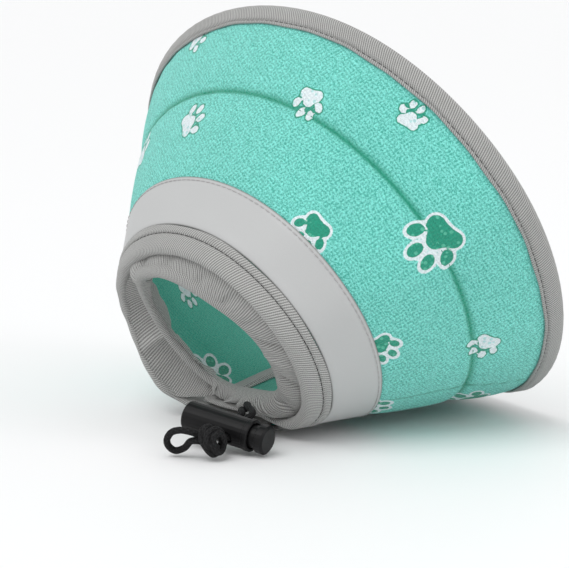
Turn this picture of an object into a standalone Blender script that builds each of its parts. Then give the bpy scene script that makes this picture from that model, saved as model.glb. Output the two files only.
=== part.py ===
"""Soft recovery cone for a small pet, lying on its side as it rests by itself.

A padded fabric sector is wrapped once round and closed with an overlap under
the cone.  The rim and both free edges are bound with ribbed knit, a smooth
reflective band goes round near the neck, and a knit casing turned into the
neck holds a drawcord with a cord lock, an overhand knot and a small loop.

Units are metres, +Z is up, the cone lies on the plane Z = 0.
The wall is a developable surface: every point is
    slant * ray(q) + depth * inward(q)
with q the angle in the flat pattern, 0 on the line where the cone touches the
floor, growing towards -X and over the top.
"""
import bpy
import bmesh
import numpy as np
from math import cos, sin, tan, pi, radians
from mathutils import Matrix, Vector

MM = 0.001

# ---------------------------------------------------------------- main sizes
AXIS_TILT = radians(34.35)      # axis of the cone above the floor
HALF_WIDTH = 0.668              # half width of the cross-section / axis length
HALF_HEIGHT = 0.4856            # upper half height / axis length
LOWER_POWER = 2.447             # how square the weight makes the lower half
SINK = 0.5 * MM                 # how far the soft wall is pressed flat below

RIM_EDGE = 200.0 * MM           # slant length from the virtual apex
RIM_BIND = 8.8 * MM             # width of the rim binding
QUILT_SEAM = 161.3 * MM
BAND_TOP = 122.9 * MM
BAND_BOTTOM = 102.0 * MM
NECK_LIP = 101.5 * MM
NECK_EDGE = 89.9 * MM
CORNER_RADIUS = 14.0 * MM       # rounded corners of the sector at the rim

FLAP_START = -0.125             # outer free edge, past the floor line (rad)
FLAP_END = 0.26                 # inner free edge, past the floor line (rad)
RAMP = (-0.36, -0.125)          # where the inner flap dives under the outer
FLAP_DEPTH = 7.0 * MM           # how deep the inner flap lies

SEAM_OUT, SEAM_IN = 1.5 * MM, 4.7 * MM    # wall where it is stitched flat
PUFF_OUT, PUFF_IN = 1.3 * MM, 1.2 * MM    # padding between the seams
COLUMNS = 62                    # cross-sections round the whole wrap

CASING_AXIAL = 78.0 * MM        # plane of the drawn-in neck opening
TUNNEL_R, CHANNEL_R = 3.3 * MM, 2.2 * MM
EXIT_ANGLE = radians(-72.0)     # where both strands leave the casing
EXIT_HALF = radians(7.5)
DIP_OUT, DIP_FORE = 1.0 * MM, 6.0 * MM          # the hem pulled to the cord lock
DIP_HALF = radians(30.0)
SAG_FORE, SAG_DOWN = 8.0 * MM, 3.5 * MM         # the neck's slack lower half
CORD_R = 1.4 * MM

# bounding-box bottom centre of the cone, in the frame of the virtual apex
APEX_TO_ORIGIN = Vector((0.0, 0.12215, 0.0))

# drawn-in neck opening: angle round the axis (deg, 0 = +X, 90 = up), radius mm
OPENING = [(-134, 29.6), (-120, 32.0), (-108, 32.2), (-90, 31.0), (-69, 31.5),
           (-51, 37.0), (-45, 38.5), (-34, 34.9), (-14, 32.3), (5, 29.7),
           (26, 25.5), (49, 22.6), (74, 24.1), (90, 26.3), (110, 28.6),
           (133, 33.1), (154, 27.9), (180, 26.1), (208, 27.1)]

# ------------------------------------------------------------------ cord lock
LOCK_LEFT = Vector((5.1, 50.0, 11.9)) * MM      # centre of the closed end
LOCK_DIR = Vector((0.9511, 0.2713, -0.1473)).normalized()
WINDOW_DIR = Vector((0.207, -0.914, -0.349))
WINDOW_DIR = (WINDOW_DIR - WINDOW_DIR.dot(LOCK_DIR) * LOCK_DIR).normalized()
LOCK_UP = LOCK_DIR.cross(WINDOW_DIR).normalized()
BARREL_LEN, BARREL_R = 31.0 * MM, 6.2 * MM
BORE_FROM, BORE_R = 8.0 * MM, 5.1 * MM
WINDOW_AT, WINDOW_LEN, WINDOW_H = 20.5 * MM, 8.0 * MM, 4.8 * MM
STRAND_STEP = 1.6 * MM          # strands sit this far either side of it
TRAVEL = 2.7 * MM
HEAD_FROM, HEAD_TO, HEAD_R = 34.0 * MM, 37.8 * MM, 5.9 * MM
STEM_FROM, STEM_R = 11.2 * MM, 4.7 * MM
KNOT = Vector((29.0, 41.35, 7.6)) * MM
KNOT_SIZE = Vector((6.3, 5.6, 7.1)) * MM        # half sizes: right, away, up
VIEW_RIGHT = Vector((0.679, 0.734, 0.0)).normalized()
VIEW_AWAY = Vector((-0.734, 0.679, 0.0)).normalized()

# loop centre line: to the right of the knot centre, above it, away (mm)
LOOP = [(-8.0, 3.2, 0.5), (-12.0, 3.8, 1.0), (-15.6, 2.7, 2.0), (-17.5, -0.5, 3.6),
        (-16.9, -3.6, 5.0), (-14.3, -5.5, 5.6), (-10.7, -4.0, 4.2), (-8.4, -1.0, 2.0)]

COLORS = {  # name: (base colour, roughness, metallic)
    "cone_panel": ((0.10, 0.56, 0.42), 0.9, 0.0),
    "rim_binding": ((0.34, 0.34, 0.34), 0.95, 0.0),
    "neck_binding": ((0.34, 0.34, 0.34), 0.95, 0.0),
    "drawstring_casing": ((0.30, 0.30, 0.30), 0.95, 0.0),
    "reflective_band": ((0.56, 0.57, 0.57), 0.42, 0.0),
    "closure_strip": ((0.25, 0.25, 0.25), 0.9, 0.0),
    "drawcord_ring": ((0.01, 0.01, 0.011), 0.8, 0.0),
    "cord_strand_a": ((0.01, 0.01, 0.011), 0.8, 0.0),
    "cord_strand_b": ((0.01, 0.01, 0.011), 0.8, 0.0),
    "cord_loop": ((0.01, 0.01, 0.011), 0.8, 0.0),
    "cord_knot": ((0.01, 0.01, 0.011), 0.8, 0.0),
    "lock_barrel": ((0.012, 0.012, 0.014), 0.45, 0.0),
    "lock_button": ((0.014, 0.014, 0.016), 0.45, 0.0),
}

# ------------------------------------------------------------- cone surface
AX = np.array([0.0, cos(AXIS_TILT), sin(AXIS_TILT)])
ACROSS = np.array([1.0, 0.0, 0.0])
UPWARD = np.array([0.0, -sin(AXIS_TILT), cos(AXIS_TILT)])


def raw_ray(phi):
    """Unit ray from the apex at section angle phi (0 = +X, 90 deg = up)."""
    c, s = np.cos(phi), np.sin(phi)
    power = np.where(s >= 0, 2.0, LOWER_POWER)
    low = np.where(s >= 0, HALF_HEIGHT, tan(AXIS_TILT))
    y = HALF_WIDTH * np.sign(c) * np.abs(c) ** (2 / power)
    v = low * np.sign(s) * np.abs(s) ** (2 / power)
    d = AX + y[:, None] * ACROSS + v[:, None] * UPWARD
    return d / np.linalg.norm(d, axis=1)[:, None]


def wrap_table(n=7200):
    """Rays at equal steps of the flat-pattern angle q, from the floor line."""
    phi = np.linspace(-pi / 2, -5 * pi / 2, n + 1)
    ray = raw_ray(phi)
    step = np.linalg.norm(np.diff(ray, axis=0), axis=1)
    q = np.concatenate([[0.0], np.cumsum(step)])
    total = q[-1]
    even = np.linspace(0, total, 1801)
    tab = np.stack([np.interp(even, q, ray[:, k]) for k in range(3)], 1)
    tab /= np.linalg.norm(tab, axis=1)[:, None]
    return even, tab, total


Q_TAB, RAY_TAB, TURN = wrap_table()


def ray(q):
    q = np.mod(np.atleast_1d(np.asarray(q, float)), TURN)
    r = np.stack([np.interp(q, Q_TAB, RAY_TAB[:, k]) for k in range(3)], 1)
    return r / np.linalg.norm(r, axis=1)[:, None]


def inward(q):
    """Unit normal of the wall, pointing into the cone."""
    q = np.atleast_1d(np.asarray(q, float))
    d = 0.012
    n = np.cross(ray(q), ray(q + d) - ray(q - d))
    n /= np.linalg.norm(n, axis=1)[:, None]
    centre = np.einsum("ij,j->i", n, AX)
    return n * np.sign(centre)[:, None]


def smooth(x, a, b):
    t = np.clip((x - a) / (b - a), 0.0, 1.0)
    return t * t * (3 - 2 * t)


def flap_depth(q):
    """How far inward the wall lies at unwrapped pattern angle q."""
    return FLAP_DEPTH * smooth(q, TURN + RAMP[0], TURN + RAMP[1])


def settle(p, floor=0.0):
    """Press what is below the floor flat, and go to the part's own frame."""
    p = np.array(p, float)
    p[..., 2] = np.maximum(p[..., 2] - SINK, floor)
    return p - np.array(APEX_TO_ORIGIN)


def slack(slant, q, z):
    """How the gathered lower half of the neck hangs out of the cone."""
    turn = np.mod(q + 1.5, TURN) - 1.5
    low = smooth(turn, -0.52, -0.14) * (1 - smooth(turn, 0.40, 1.05))
    w = low * (1 - smooth(slant, 90 * MM, 128 * MM))
    drop = SAG_DOWN * smooth(z, 5 * MM, 18 * MM)
    return np.stack([0 * w, -SAG_FORE * w, -drop * w], axis=-1)


def wall_point(slant, q, depth):
    slant, q, depth = np.broadcast_arrays(*[np.asarray(v, float)
                                            for v in (slant, q, depth)])
    s, qq, h = slant.ravel(), q.ravel(), depth.ravel() + flap_depth(q.ravel())
    p = s[:, None] * ray(qq) + h[:, None] * inward(qq)
    return p + slack(s, qq, p[:, 2])


# ------------------------------------------------------------ mesh builders
def link(name, mesh):
    obj = bpy.data.objects.new(name, mesh)
    bpy.context.scene.collection.objects.link(obj)
    mat = bpy.data.materials.new(name)
    mat.use_nodes = True
    shader = mat.node_tree.nodes["Principled BSDF"]
    color, rough, metal = COLORS[name]
    shader.inputs["Base Color"].default_value = (*color, 1)
    shader.inputs["Roughness"].default_value = rough
    shader.inputs["Metallic"].default_value = metal
    mesh.materials.append(mat)
    return obj


def finish_mesh(bm, name):
    bmesh.ops.triangulate(bm, faces=bm.faces[:])
    bmesh.ops.recalc_face_normals(bm, faces=bm.faces[:])
    if bm.calc_volume(signed=True) < 0:
        bmesh.ops.reverse_faces(bm, faces=bm.faces[:])
    mesh = bpy.data.meshes.new(name)
    bm.to_mesh(mesh)
    bm.free()
    mesh.shade_smooth()
    mesh.set_sharp_from_angle(angle=radians(50))
    return mesh


def shell_between(name, outer, inner, close_section=False):
    """Solid between two rails of points per column.

    outer, inner: arrays (columns, points, 3).  The section runs along the
    outer rail and back along the inner rail; the ends are capped.  With
    close_section both rails are closed rings and the solid is a tube wall.
    """
    cols, m = outer.shape[:2]
    bm = bmesh.new()
    o = [[bm.verts.new(p) for p in col] for col in outer]
    i = [[bm.verts.new(p) for p in col] for col in inner]
    span = m if close_section else m - 1
    for c in range(cols - 1):
        for k in range(span):
            k2 = (k + 1) % m
            bm.faces.new((o[c][k], o[c][k2], o[c + 1][k2], o[c + 1][k]))
            bm.faces.new((i[c][k2], i[c][k], i[c + 1][k], i[c + 1][k2]))
        if not close_section:
            bm.faces.new((o[c][0], o[c + 1][0], i[c + 1][0], i[c][0]))
            bm.faces.new((o[c][-1], i[c][-1], i[c + 1][-1], o[c + 1][-1]))
    for c in (0, cols - 1):
        for k in range(span):
            k2 = (k + 1) % m
            bm.faces.new((o[c][k], i[c][k], i[c][k2], o[c][k2]))
    return link(name, finish_mesh(bm, name))


def sweep_wall(name, path_slant, path_q, side, outer, inner):
    """Sweep a section along a line in the flat pattern.

    side: unit vectors in the pattern pointing from the edge into the panel;
    outer/inner: rails of (width from the edge, depth) pairs in mm.
    """
    flat = np.stack([path_slant * np.cos(path_q), path_slant * np.sin(path_q)], 1)
    rails = []
    for rail in (outer, inner):
        rail = np.array(rail) * MM
        pts = flat[:, None, :] + side[:, None, :] * rail[None, :, :1]
        slant = np.linalg.norm(pts, axis=2)
        q = np.arctan2(pts[..., 1], pts[..., 0])
        q = q + 2 * pi * np.round((path_q[:, None] - q) / (2 * pi))
        depth = np.broadcast_to(rail[None, :, 1], slant.shape)
        rails.append(settle(wall_point(slant, q, depth).reshape(*slant.shape, 3)))
    return shell_between(name, *rails)


def tube(name, points, radius, resolution=2):
    curve = bpy.data.curves.new(name, "CURVE")
    curve.dimensions = "3D"
    curve.bevel_depth = radius
    curve.bevel_resolution = resolution
    curve.use_fill_caps = True
    spline = curve.splines.new("POLY")
    spline.points.add(len(points) - 1)
    for p, co in zip(spline.points, points):
        p.co = (*co, 1)
    return link(name, curve)


def through(points, step):
    """Smooth curve through the points, read at about equal steps."""
    p = np.array([tuple(v) for v in points], float)
    ext = np.vstack([2 * p[0] - p[1], p, 2 * p[-1] - p[-2]])
    out = []
    for k in range(1, len(ext) - 2):
        a, b, c, d = ext[k - 1:k + 3]
        for t in np.linspace(0, 1, 24, endpoint=False):
            out.append(0.5 * ((2 * b) + (c - a) * t + (2 * a - 5 * b + 4 * c - d) * t * t
                              + (3 * b - a - 3 * c + d) * t ** 3))
    out.append(ext[-2])
    out = np.array(out)
    run = np.concatenate([[0], np.cumsum(np.linalg.norm(np.diff(out, axis=0), axis=1))])
    n = max(2, int(round(run[-1] / step)))
    at = np.linspace(0, run[-1], n + 1)
    return [Vector([np.interp(v, run, out[:, k]) for k in range(3)]) for v in at]


# ------------------------------------------------------------------- pieces
def column_angles(start, end):
    step = (TURN + FLAP_END - FLAP_START) / COLUMNS
    mid = [FLAP_START + step * k for k in range(COLUMNS + 1)]
    mid = [v for v in mid if start + 0.3 * step < v < end - 0.3 * step]
    return np.array([start] + mid + [end])


def corner_limit(q, edge_q):
    """Slant to which the panel reaches near a rounded corner of the sector."""
    inset = 6.4 * MM
    radius = CORNER_RADIUS - inset
    away = np.abs(q - edge_q) * (RIM_EDGE - CORNER_RADIUS)
    short = np.clip(CORNER_RADIUS - away, 0.0, radius)
    return (RIM_EDGE - CORNER_RADIUS) + np.sqrt(radius ** 2 - short ** 2)


def make_panel():
    """Padded sector, puffed between the seams, with its two flaps."""
    start = FLAP_START + 5.0 * MM / 145e-3
    end = TURN + FLAP_END - 5.0 * MM / 145e-3
    q = column_angles(start, end)
    near = np.array([0.012, 0.03])
    q = np.unique(np.concatenate([q, start + near, end - near]))
    # slant of each row as a share, and how puffed the wall is there
    rows = [(96.8, 0.0), (102.0, 0.0), (123.4, 0.0), (129.0, 0.75), (142.0, 1.0),
            (156.0, 0.75), (161.3, 0.0), (166.5, 0.75), (177.0, 1.0), (187.0, 0.75),
            (190.9, 0.0), (195.0, 0.0)]
    slant = np.array([r[0] for r in rows]) * MM
    puff = np.array([r[1] for r in rows])
    limit = np.minimum(corner_limit(q, FLAP_START), corner_limit(q, TURN + FLAP_END))
    limit = np.minimum(limit, RIM_EDGE - 5.0 * MM)
    s = slant[None, :] * np.ones((len(q), 1))
    scale = (limit - 161.3 * MM) / (slant[-1] - 161.3 * MM)
    upper = slant > 162 * MM
    s[:, upper] = 161.3 * MM + (slant[upper] - 161.3 * MM)[None, :] * scale[:, None]
    # the puff fades towards the free edges, which are bound flat
    edge = np.minimum(q - FLAP_START, TURN + FLAP_END - q)
    fade = smooth(edge, 0.07, 0.16)
    p = puff[None, :] * fade[:, None]
    # the end columns run parallel to the free edges, not along rays
    shift = np.arcsin(5.0 * MM / s) - 5.0 * MM / 145e-3
    near0 = np.clip(1 - (q - start) / 0.12, 0, 1)[:, None]
    near1 = np.clip(1 - (end - q) / 0.12, 0, 1)[:, None]
    qq = q[:, None] + shift * (near0 - near1)
    outer = wall_point(s, qq, SEAM_OUT - PUFF_OUT * p).reshape(*s.shape, 3)
    inner = wall_point(s, qq, SEAM_IN + PUFF_IN * p).reshape(*s.shape, 3)
    return shell_between("cone_panel", settle(outer), settle(inner))


BIND_OUTER = [(8.8, 0.35), (7.4, 0.0), (6.5, 0.5), (4.6, 0.0), (1.6, 0.35),
              (0.0, 3.1), (1.6, 5.85), (4.6, 6.2), (6.5, 5.7), (7.4, 6.2), (8.8, 5.85)]
BIND_INNER = [(8.8, 1.2), (7.4, 1.2), (6.5, 1.2), (5.2, 1.2), (3.9, 1.6),
              (3.9, 3.1), (3.9, 4.6), (5.2, 5.0), (6.5, 5.0), (7.4, 5.0), (8.8, 5.0)]


def make_rim_binding():
    """Binding round the rim and down both free edges, corners rounded."""
    low = NECK_LIP + 0.5 * MM
    r = CORNER_RADIUS
    q0, q1 = FLAP_START, TURN + FLAP_END
    top = RIM_EDGE - r
    slant, q, side = [], [], []

    def add(s, a, direction):
        slant.append(s)
        q.append(a)
        side.append(direction)

    def free_edge(edge_q, sign, order):
        radial = np.array([cos(edge_q), sin(edge_q)])
        cross = np.array([-sin(edge_q), cos(edge_q)]) * sign
        stations = np.linspace(low, sqrt_len(top, r), 7)
        rows = [(s * radial, cross) for s in stations]
        centre = rows[-1][0] + cross * r
        for k in range(1, 6):
            t = k * (pi / 2 + sign * 0) / 6
            out = -cross * cos(t) + radial * sin(t)
            rows.append((centre + out * r, -out))
        for p, d in (rows if order > 0 else rows[::-1]):
            add(np.linalg.norm(p), edge_q + wrap(np.arctan2(p[1], p[0]) - edge_q), d)

    def sqrt_len(reach, radius):
        # the corner circle touches the rim arc from inside
        return (reach ** 2 - radius ** 2) ** 0.5

    def wrap(a):
        return (a + pi) % (2 * pi) - pi

    free_edge(q0, 1.0, 1)
    lean = np.arcsin(r / top)
    for a in column_angles(q0 + lean, q1 - lean):
        add(RIM_EDGE, a, -np.array([cos(a), sin(a)]))
    free_edge(q1, -1.0, -1)
    return sweep_wall("rim_binding", np.array(slant), np.array(q), np.array(side),
                      BIND_OUTER, BIND_INNER)


def make_neck_binding():
    """Roll and lip round the neck edge, from one free edge to the other."""
    outer = [(11.6, 0.35), (9.6, 0.0), (8.5, 0.55), (5.6, 0.0), (2.0, 0.4), (0.0, 2.8),
             (2.0, 5.1), (5.6, 5.4), (11.6, 5.4)]
    inner = [(11.6, 1.2), (9.6, 1.2), (8.5, 1.2), (6.4, 1.2), (5.0, 1.7), (5.0, 3.1),
             (5.0, 4.4), (6.4, 5.0), (11.6, 5.0)]
    outer[-1] = (11.6, 5.8)
    q = column_angles(FLAP_START + 0.004, TURN + FLAP_END - 0.004)
    side = np.stack([np.cos(q), np.sin(q)], 1)
    return sweep_wall("neck_binding", np.full(len(q), NECK_EDGE), q, side, outer, inner)


def make_band():
    """Smooth reflective tape stitched over the wall above the neck."""
    start = FLAP_START + (RIM_BIND + 0.6 * MM) / BAND_BOTTOM
    q = column_angles(start, TURN + FLAP_END - (start - FLAP_START))
    s = np.array([BAND_BOTTOM, 0.5 * (BAND_BOTTOM + BAND_TOP), BAND_TOP])
    ss, qq = np.meshgrid(s, q)
    outer = wall_point(ss, qq, 0.25 * MM).reshape(*ss.shape, 3)
    inner = wall_point(ss, qq, 1.2 * MM).reshape(*ss.shape, 3)
    # the tape lies a hair above the floor, between the bindings that touch it
    return shell_between("reflective_band", settle(outer, 0.3 * MM), settle(inner))


def make_closure():
    """Fastening strip between the two flaps, out of sight."""
    q = TURN + np.linspace(-0.02, 0.17, 6)
    ss, qq = np.meshgrid(np.array([126.0, 146.0, 166.0, 186.0]) * MM, q)
    outer = wall_point(ss, qq, -0.75 * MM).reshape(*ss.shape, 3)
    inner = wall_point(ss, qq, -0.22 * MM).reshape(*ss.shape, 3)
    return shell_between("closure_strip", settle(outer), settle(inner))


# ---------------------------------------------------------------- the casing
def pattern_angle(omega):
    """Pattern angle of the wall that lies at angle omega round the axis."""
    y, v = RAY_TAB @ ACROSS, RAY_TAB @ UPWARD
    w = np.unwrap(np.arctan2(v, y))             # falls as q grows
    target = np.asarray(omega, float)
    target = target - 2 * pi * np.ceil((target - w[0]) / (2 * pi))
    return np.interp(-target, -w, Q_TAB)


def opening_radius(omega):
    a = np.radians([row[0] for row in OPENING])
    r = np.array([row[1] for row in OPENING]) * MM
    a = np.concatenate([a - 2 * pi, a, a + 2 * pi])
    r = np.concatenate([r, r, r])
    x = (np.asarray(omega) + pi) % (2 * pi) - pi
    blur = np.radians(np.linspace(-12, 12, 13))
    return np.mean([np.interp(x + b, a, r) for b in blur], axis=0)


def casing_depth(q):
    """Depth of the casing's outer edge: inside whichever flap is innermost."""
    q = (np.asarray(q) + 1.2) % TURN - 1.2
    both = smooth(q, RAMP[0] - 0.06, RAMP[1] - 0.06) * (1 - smooth(q, 0.30, 0.46))
    return 6.9 * MM + FLAP_DEPTH * both


def axis_point(omega, radius, axial):
    omega, radius = np.asarray(omega, float), np.asarray(radius, float)
    return (axial * AX + radius[..., None] * (np.cos(omega)[..., None] * ACROSS
                                               + np.sin(omega)[..., None] * UPWARD))


def casing_frame(omega):
    """Outer edge, tunnel centre, and the section's two directions."""
    q = pattern_angle(omega)
    edge = 93.8 * MM * ray(q) + casing_depth(q)[:, None] * inward(q)
    edge = edge + slack(np.full(len(q), 93.8 * MM), q, edge[:, 2])
    radial = np.cos(omega)[:, None] * ACROSS + np.sin(omega)[:, None] * UPWARD
    reach = np.einsum("ij,ij->i", edge, radial)
    r = np.minimum(opening_radius(omega), reach - 7.2 * MM) + TUNNEL_R + 0.2 * MM
    straight = axis_point(omega, r, CASING_AXIAL)
    away = (np.asarray(omega) - EXIT_ANGLE + pi) % (2 * pi) - pi
    dip = np.cos(np.clip(away / DIP_HALF, -1, 1) * pi / 2) ** 2
    tunnel = straight + dip[:, None] * (DIP_OUT * radial - DIP_FORE * AX)
    out = edge - tunnel
    length = np.linalg.norm(out, axis=1)
    out /= length[:, None]
    front = np.cross(out, np.cross(radial, AX))
    front /= np.linalg.norm(front, axis=1)[:, None]
    front *= np.sign(np.einsum("ij,j->i", front, -AX))[:, None]
    return edge, tunnel, out, front, length, straight - tunnel


def make_casing():
    """Gathered knit tunnel: a tube for the cord and the tail sewn to the neck."""
    n = 46
    omega = np.linspace(EXIT_ANGLE + EXIT_HALF, EXIT_ANGLE + 2 * pi - EXIT_HALF, n)
    edge, tunnel, out, front, length, hem = casing_frame(omega)
    ripple = 0.7 * MM * np.sin(13 * omega)
    fold = front * np.einsum("ij,ij->i", hem, front)[:, None]
    ring = np.radians(np.linspace(35, 325, 8))
    outer, inner = [], []
    for c in range(n):
        neck = min(length[c] * 0.75, TUNNEL_R + 0.6 * MM)
        mid = front[c] * ripple[c]
        sec = [tunnel[c] + out[c] * length[c] + front[c] * 1.0 * MM,
               tunnel[c] + out[c] * neck + front[c] * 1.15 * MM + mid * 0.5]
        # where the hem dips to the lock, a fold of it still edges the opening;
        # it grows from the tunnel's back, so the channel keeps its wall
        sec += [tunnel[c] + TUNNEL_R * (cos(a) * out[c] + sin(a) * front[c])
                + fold[c] * max(0.0, cos(a - radians(205))) ** 6 for a in ring]
        sec += [tunnel[c] + out[c] * neck - front[c] * 1.15 * MM + mid * 0.5,
                tunnel[c] + out[c] * length[c] - front[c] * 1.0 * MM]
        m = len(sec)
        around = np.radians(np.linspace(15, 345, m))
        hole = [tunnel[c] + CHANNEL_R * (cos(a) * out[c] + sin(a) * front[c]) for a in around]
        outer.append(sec)
        inner.append(hole)
    return shell_between("drawstring_casing", settle(np.array(outer)),
                         settle(np.array(inner)), close_section=True)


# ------------------------------------------------------------------- drawcord
def lock_point(along, out=0.0, up=0.0):
    return LOCK_LEFT + LOCK_DIR * along + WINDOW_DIR * out + LOCK_UP * up


def place(v):
    return Vector(v) - APEX_TO_ORIGIN


def make_cords():
    omega = np.linspace(EXIT_ANGLE + EXIT_HALF - radians(1.0),
                        EXIT_ANGLE + 2 * pi - EXIT_HALF + radians(1.0), 76)
    ring = casing_frame(omega)[1]
    tube("drawcord_ring", [Vector(p) for p in settle(ring)], CORD_R)
    ends = (ring[-1], ring[0])
    turn = (ring[-1] - ring[-2], ring[0] - ring[1])
    for name, end, direction, along in (
            ("cord_strand_a", ends[0], turn[0], WINDOW_AT - STRAND_STEP),
            ("cord_strand_b", ends[1], turn[1], WINDOW_AT + STRAND_STEP)):
        d = Vector(direction).normalized()
        start = Vector(end) - Vector((0, 0, SINK)) + d * 0.45 * MM
        spread, rise = ((1.0 * MM, 2.3 * MM) if along > WINDOW_AT else
                        (-1.0 * MM, -0.3 * MM))
        route = [start, start + d * 0.8 * MM,
                 start + d * 2.0 * MM + Vector((0.0, -1.0, 0.0)) * MM,
                 start + d * 2.2 * MM + Vector((0.0, -5.0 * MM, rise)),
                 lock_point(along + spread, -11.5 * MM, -0.6 * rise),
                 lock_point(along, -7.0 * MM),
                 lock_point(along, 0.0), lock_point(along, 6.7 * MM)]
        tube(name, [place(p) for p in through(route, 1.1 * CORD_R)], CORD_R)
    loop = [KNOT + VIEW_RIGHT * r * MM + Vector((0, 0, z * MM)) + VIEW_AWAY * a * MM
            for r, z, a in LOOP]
    tube("cord_loop", [place(p) for p in through(loop, 1.9 * CORD_R)], CORD_R)
    bm = bmesh.new()
    bmesh.ops.create_uvsphere(bm, u_segments=16, v_segments=10, radius=1.0)
    basis = Matrix((VIEW_RIGHT * KNOT_SIZE.x, VIEW_AWAY * KNOT_SIZE.y,
                    Vector((0, 0, KNOT_SIZE.z)))).transposed()
    bm.transform(Matrix.Translation(place(KNOT)) @ basis.to_4x4())
    link("cord_knot", finish_mesh(bm, "cord_knot"))


# ------------------------------------------------------------------ cord lock
def turned(name, profile, segments=28):
    """Solid of revolution about local +Z from (height, radius) rows in mm."""
    bm = bmesh.new()
    rings = []
    for z, r in profile:
        if r == 0:
            rings.append([bm.verts.new((0, 0, z * MM))])
        else:
            rings.append([bm.verts.new((r * MM * cos(2 * pi * k / segments),
                                        r * MM * sin(2 * pi * k / segments), z * MM))
                          for k in range(segments)])
    for a, b in zip(rings, rings[1:]):
        for k in range(segments):
            k2 = (k + 1) % segments
            if len(a) == 1:
                bm.faces.new((a[0], b[k2], b[k]))
            elif len(b) == 1:
                bm.faces.new((a[k], a[k2], b[0]))
            else:
                bm.faces.new((a[k], a[k2], b[k2], b[k]))
    return link(name, finish_mesh(bm, name))


def slot_cutter(name, at, length, height, reach):
    """Round-ended slot through the lock, along the window direction."""
    bm = bmesh.new()
    r = height / 2
    outline = []
    for sign in (1, -1):
        for k in range(7):
            t = -pi / 2 + pi * k / 6
            outline.append((sign * (length / 2 - r + r * cos(t)), sign * r * sin(t)))
    low = [bm.verts.new((-reach, y, at + z)) for z, y in outline]
    high = [bm.verts.new((reach, y, at + z)) for z, y in outline]
    n = len(outline)
    for k in range(n):
        k2 = (k + 1) % n
        bm.faces.new((low[k], low[k2], high[k2], high[k]))
    bm.faces.new(low[::-1])
    bm.faces.new(high)
    bmesh.ops.recalc_face_normals(bm, faces=bm.faces[:])
    if bm.calc_volume(signed=True) < 0:
        bmesh.ops.reverse_faces(bm, faces=bm.faces[:])
    mesh = bpy.data.meshes.new(name)
    bm.to_mesh(mesh)
    bm.free()
    obj = bpy.data.objects.new(name, mesh)
    bpy.context.scene.collection.objects.link(obj)
    obj.hide_render = True
    obj.display_type = "WIRE"
    return obj


def make_lock():
    """Barrel with a window, and the sprung button whose stem pinches the cord."""
    holder = bpy.data.objects.new("lock_axis", None)
    bpy.context.scene.collection.objects.link(holder)
    basis = Matrix((WINDOW_DIR, LOCK_UP, LOCK_DIR)).transposed()
    if basis.determinant() < 0:
        basis = Matrix((WINDOW_DIR, -LOCK_UP, LOCK_DIR)).transposed()
    holder.matrix_world = Matrix.Translation(place(LOCK_LEFT)) @ basis.to_4x4()
    R, B, L = BARREL_R / MM, BORE_R / MM, BARREL_LEN / MM
    barrel = turned("lock_barrel", [
        (0.0, 0), (0.0, R - 0.9), (0.25, R - 0.3), (0.9, R), (L - 2.6, R), (L - 2.3, R + 0.3),
        (L - 0.4, R + 0.3), (L, R - 0.1), (L, B + 0.3), (L - 0.4, B), (BORE_FROM / MM, B),
        (BORE_FROM / MM, 0)])
    H, S = HEAD_R / MM, STEM_R / MM
    lo, hi = HEAD_FROM / MM, HEAD_TO / MM
    button = turned("lock_button", [
        (STEM_FROM / MM, 0), (STEM_FROM / MM, S - 0.5), (STEM_FROM / MM + 0.5, S),
        (lo, S), (lo, H - 0.5), (lo + 0.4, H), (lo + 3.0, H), (lo + 3.3, H - 0.35),
        (hi - 0.7, H - 0.35), (hi, H - 1.1), (hi, 0)])
    window = slot_cutter("window_cut", WINDOW_AT, WINDOW_LEN, WINDOW_H, 8 * MM)
    slot_lo = WINDOW_AT - STRAND_STEP - CORD_R - 0.35 * MM
    slot_hi = WINDOW_AT + STRAND_STEP + CORD_R + 0.35 * MM + TRAVEL
    slot = slot_cutter("stem_cut", (slot_lo + slot_hi) / 2, slot_hi - slot_lo,
                       2 * CORD_R + 0.7 * MM, 6 * MM)
    for obj, cutter in ((barrel, window), (button, slot)):
        mod = obj.modifiers.new("cut", "BOOLEAN")
        mod.operation = "DIFFERENCE"
        mod.solver = "EXACT"
        mod.object = cutter
    for obj in (barrel, button, window, slot):
        obj.parent = holder


def main():
    for obj in list(bpy.data.objects):
        bpy.data.objects.remove(obj, do_unlink=True)
    make_panel()
    make_rim_binding()
    make_neck_binding()
    make_band()
    make_closure()
    make_casing()
    make_cords()
    make_lock()


main()
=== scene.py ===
"""Looks of the soft recovery cone: padded air mesh with a paw print, ribbed
knit bindings, reflective tape, gathered casing, braided cord and its lock."""
import bpy
import bmesh
import numpy as np
from math import cos, sin, tan, pi, radians
from mathutils import Matrix, Vector


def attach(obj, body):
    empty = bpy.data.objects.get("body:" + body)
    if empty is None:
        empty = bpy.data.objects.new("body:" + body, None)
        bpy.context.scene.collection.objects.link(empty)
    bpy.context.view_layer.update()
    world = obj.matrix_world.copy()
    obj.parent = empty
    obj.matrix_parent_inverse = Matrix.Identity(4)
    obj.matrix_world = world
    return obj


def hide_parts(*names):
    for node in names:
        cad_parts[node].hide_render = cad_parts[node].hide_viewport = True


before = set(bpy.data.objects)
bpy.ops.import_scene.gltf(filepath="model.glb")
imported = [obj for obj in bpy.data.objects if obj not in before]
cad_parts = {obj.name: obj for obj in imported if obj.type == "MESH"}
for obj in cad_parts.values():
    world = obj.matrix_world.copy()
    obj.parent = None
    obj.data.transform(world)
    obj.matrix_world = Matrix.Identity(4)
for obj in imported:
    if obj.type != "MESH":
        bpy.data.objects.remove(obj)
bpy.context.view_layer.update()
bpy.context.scene.view_settings.view_transform = "Standard"
MM = 0.001
RNG = np.random.default_rng(7)

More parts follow.
